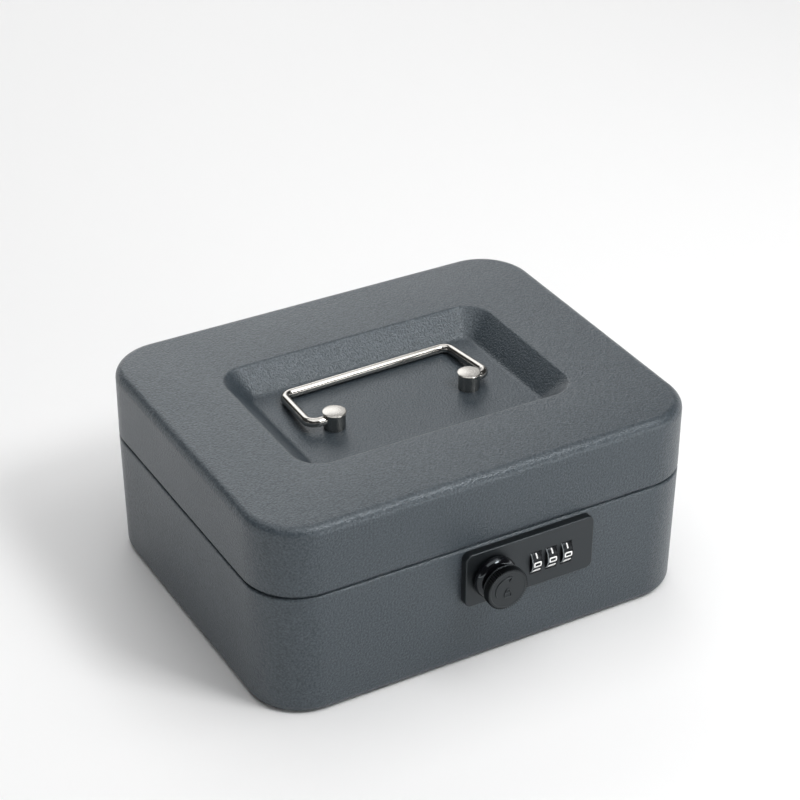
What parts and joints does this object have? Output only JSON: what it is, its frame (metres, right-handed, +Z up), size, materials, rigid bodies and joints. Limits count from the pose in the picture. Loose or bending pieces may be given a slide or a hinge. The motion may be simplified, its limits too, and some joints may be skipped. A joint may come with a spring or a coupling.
{
  "type": "cash box",
  "caption": "Portable steel cash box: hinged lid with a recessed bail handle, number dials beside a turning lock knob, and a lift-out coin tray.",
  "frame": {"origin": "middle of the flat base, on the surface that the box stands on", "axes": "+X along the front, to the right as seen from the front; +Y towards the hinges; +Z up"},
  "size_m": [0.2, 0.1799, 0.0884],
  "materials": {
    "powder_coat": "dark grey powder coat with a fine wrinkle texture",
    "plate_plastic": "black satin moulding",
    "knob_plastic": "black satin moulding",
    "collar_gloss": "black gloss",
    "dial_plastic": "black satin, white numbers",
    "bright_nickel": "polished nickel plate",
    "zinc_plate": "bright zinc plate",
    "die_casting": "matt zinc die-casting",
    "bolt_brass": "turned brass",
    "spring_steel": "bright spring steel",
    "lever_plastic": "red moulding",
    "tray_plastic": "black satin moulding"
  },
  "bodies": {
    "case": {"case_shell": "powder_coat", "case_hinge_leaves": "powder_coat", "hinge_pins": "zinc_plate", "lock_plate": "plate_plastic", "knob_collar": "collar_gloss", "lock_body": "die_casting", "lock_cover": "zinc_plate", "lock_screws": "zinc_plate", "detent_spring": "spring_steel"},
    "lid": {"lid_shell": "powder_coat", "lid_hinge_leaves": "powder_coat", "strike": "powder_coat", "handle_post_left": "bright_nickel", "handle_post_right": "bright_nickel", "post_screws": "zinc_plate", "post_washers": "zinc_plate"},
    "bail": {"handle_bail": "bright_nickel"},
    "knob": {"knob": "knob_plastic", "knob_spindle": "zinc_plate", "drive_eccentric": "bolt_brass", "latch_cam": "zinc_plate", "cam_nut": "zinc_plate"},
    "bolt": {"code_bolt": "bolt_brass"},
    "dial_1": {"dial_wheel_1": "dial_plastic", "code_sleeve_1": "dial_plastic"},
    "dial_2": {"dial_wheel_2": "dial_plastic", "code_sleeve_2": "dial_plastic"},
    "dial_3": {"dial_wheel_3": "dial_plastic", "code_sleeve_3": "dial_plastic"},
    "lever": {"change_lever": "lever_plastic"},
    "tray": {"coin_tray": "tray_plastic", "tray_grab_bar": "tray_plastic"}
  },
  "joints": [
    {"name": "lid_hinge", "type": "hinge", "parent": "case", "child": "lid", "pos_m": [0, 0.0823, 0.0579], "axis": [-1, 0, 0], "range_deg": [0, 100]},
    {"name": "bail_swing", "type": "hinge", "parent": "lid", "child": "bail", "pos_m": [0, -0.0056, 0.0829], "axis": [1, 0, 0], "range_deg": [0, 170]},
    {"name": "knob_turn", "type": "hinge", "parent": "case", "child": "knob", "pos_m": [-0.0027, -0.08, 0.04275], "axis": [0, 1, 0], "range_deg": [0, 90]},
    {"name": "bolt_slide", "type": "slide", "parent": "case", "child": "bolt", "axis": [-1, 0, 0], "range_m": [0, 0.0027]},
    {"name": "dial_1_turn", "type": "hinge", "parent": "case", "child": "dial_1", "pos_m": [0.01755, -0.0792, 0.0417], "axis": [1, 0, 0], "continuous": true},
    {"name": "dial_2_turn", "type": "hinge", "parent": "case", "child": "dial_2", "pos_m": [0.02485, -0.0792, 0.0417], "axis": [1, 0, 0], "continuous": true},
    {"name": "dial_3_turn", "type": "hinge", "parent": "case", "child": "dial_3", "pos_m": [0.03215, -0.0792, 0.0417], "axis": [1, 0, 0], "continuous": true},
    {"name": "lever_slide", "type": "slide", "parent": "case", "child": "lever", "axis": [1, 0, 0], "range_m": [0, 0.004]},
    {"name": "tray_lift", "type": "slide", "parent": "case", "child": "tray", "axis": [0, 0, 1], "range_m": [0, 0.01]}
  ],
  "couplings": [
    {"joint": "bolt_slide", "follows": "knob_turn", "m_per_rad": 0.001718}
  ]
}
